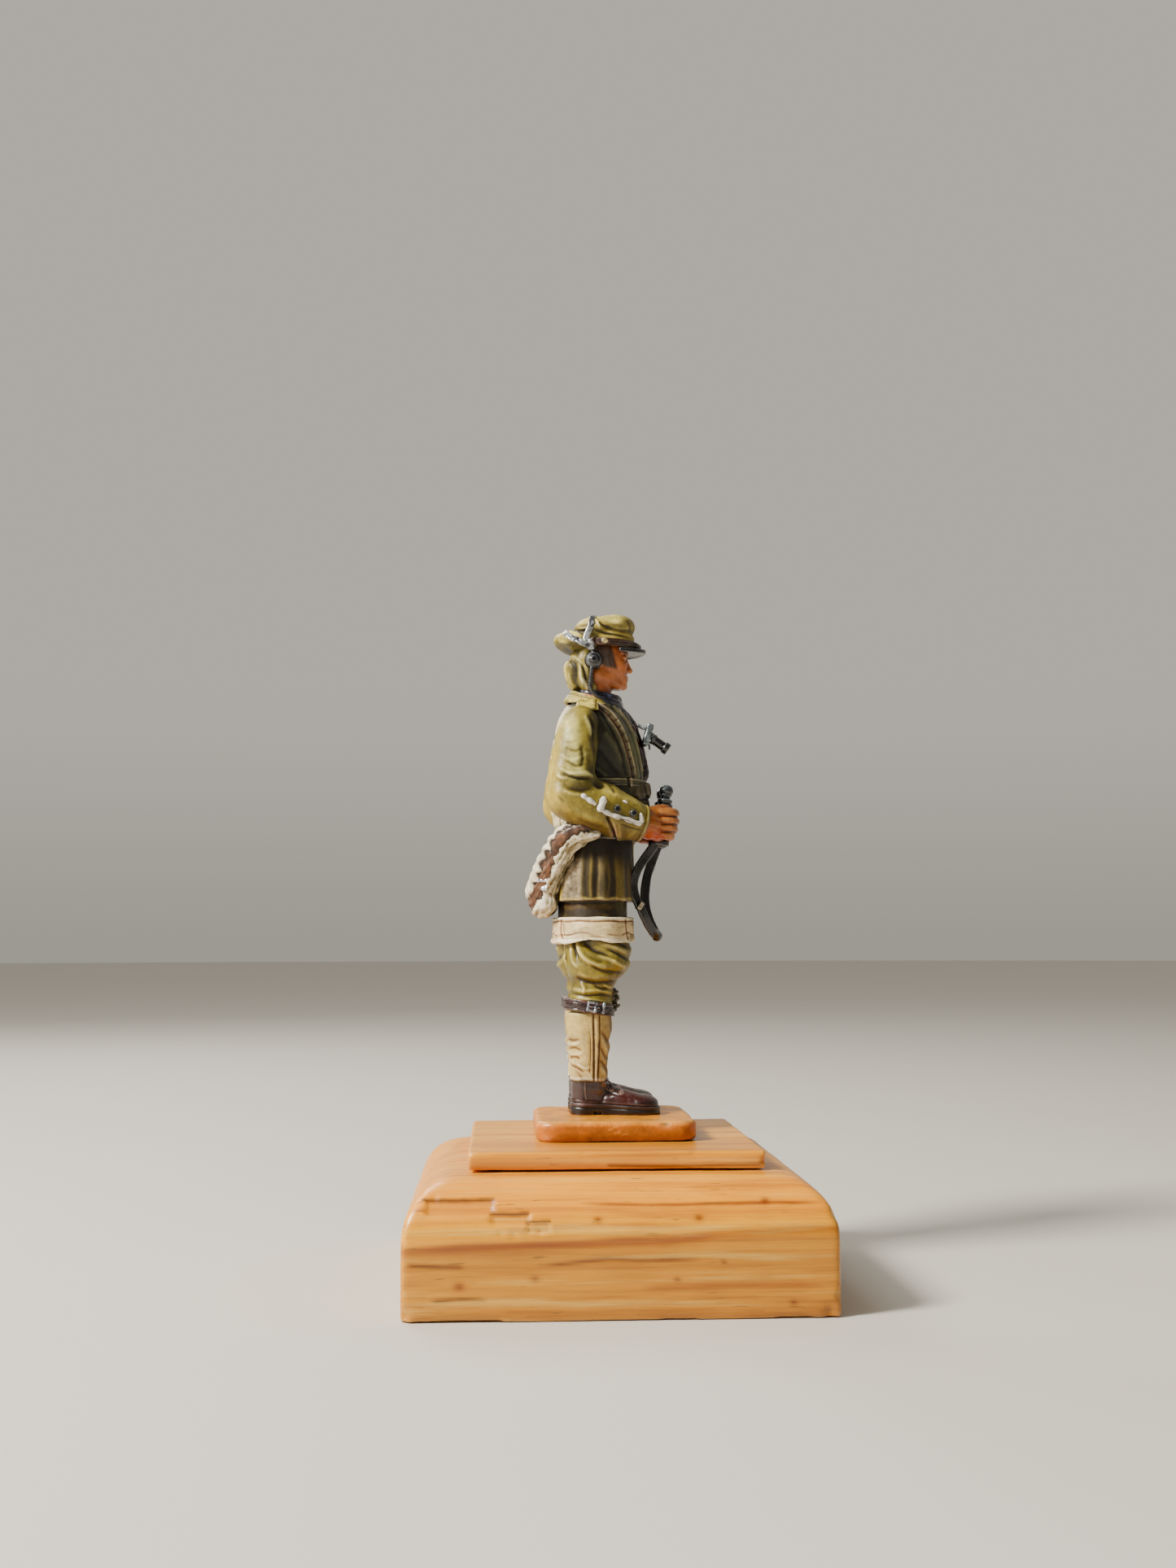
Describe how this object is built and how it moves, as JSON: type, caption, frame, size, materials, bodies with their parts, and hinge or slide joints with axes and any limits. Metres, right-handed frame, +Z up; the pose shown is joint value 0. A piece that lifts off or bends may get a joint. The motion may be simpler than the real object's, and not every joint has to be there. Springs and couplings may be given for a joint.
{
  "type": "painted miniature figure",
  "caption": "Painted cast-metal figure of a standing officer with headphones and binoculars, on a cast base and a stepped wooden display plinth",
  "frame": {"origin": "centre of the plinth's underside", "axes": "+X the way the figure faces, +Y its left, +Z up"},
  "size_m": [0.05, 0.05, 0.0864],
  "materials": {
    "pine": "varnished pine",
    "pine_step": "varnished pine",
    "screw_steel": "plain",
    "pin_brass": "plain",
    "base_ochre": "satin enamel",
    "flesh": "satin enamel",
    "sole_dark": "satin enamel",
    "boot_burgundy": "gloss enamel",
    "lace": "satin enamel",
    "gaiter_cream": "matt enamel",
    "leather_brown": "satin enamel",
    "silver": "metallic enamel",
    "breeches_khaki": "matt enamel",
    "hem_cream": "matt enamel",
    "khaki": "matt enamel",
    "jerkin_cream": "matt enamel",
    "belt_grey": "satin enamel",
    "sheepskin": "matt enamel",
    "braid_white": "satin enamel",
    "black": "gloss enamel",
    "optic_grey": "gloss enamel",
    "scarf_navy": "satin enamel",
    "scarf_brown": "satin enamel",
    "curtain_khaki": "matt enamel"
  },
  "bodies": {
    "root": {"lower_plinth": "pine", "upper_plinth": "pine_step", "mounting_screw": "screw_steel", "foot_pins": "pin_brass", "base_plate": "base_ochre", "right_boot_sole": "sole_dark", "left_boot_sole": "sole_dark", "right_boot": "boot_burgundy", "left_boot": "boot_burgundy", "boot_laces": "lace", "right_gaiter": "gaiter_cream", "left_gaiter": "gaiter_cream", "right_garter_strap": "leather_brown", "left_garter_strap": "leather_brown", "garter_buckles": "silver", "breeches": "breeches_khaki", "knee_lacing": "leather_brown", "hem_band": "hem_cream", "tunic_skirt": "khaki", "tunic_body": "khaki", "jerkin": "jerkin_cream", "sheepskin_roll": "sheepskin", "roll_band": "leather_brown", "waist_belt": "belt_grey", "front_pouch": "belt_grey", "shoulder_straps": "khaki", "right_sleeve": "khaki", "left_sleeve": "khaki", "cuff_braid": "braid_white", "cuff_buttons": "black", "right_hand": "flesh", "left_hand": "flesh", "binoculars": "black", "eyepieces": "optic_grey", "binocular_strap": "black", "scarf": "scarf_navy", "scarf_tail": "scarf_brown", "head": "flesh", "neck_curtain": "curtain_khaki", "cap_crown": "khaki", "cap_band": "leather_brown", "cap_peak": "black", "headset_bands": "silver", "earphones": "black", "headset_cable": "black", "microphone_plate": "silver", "microphone": "black"}
  },
  "joints": []
}
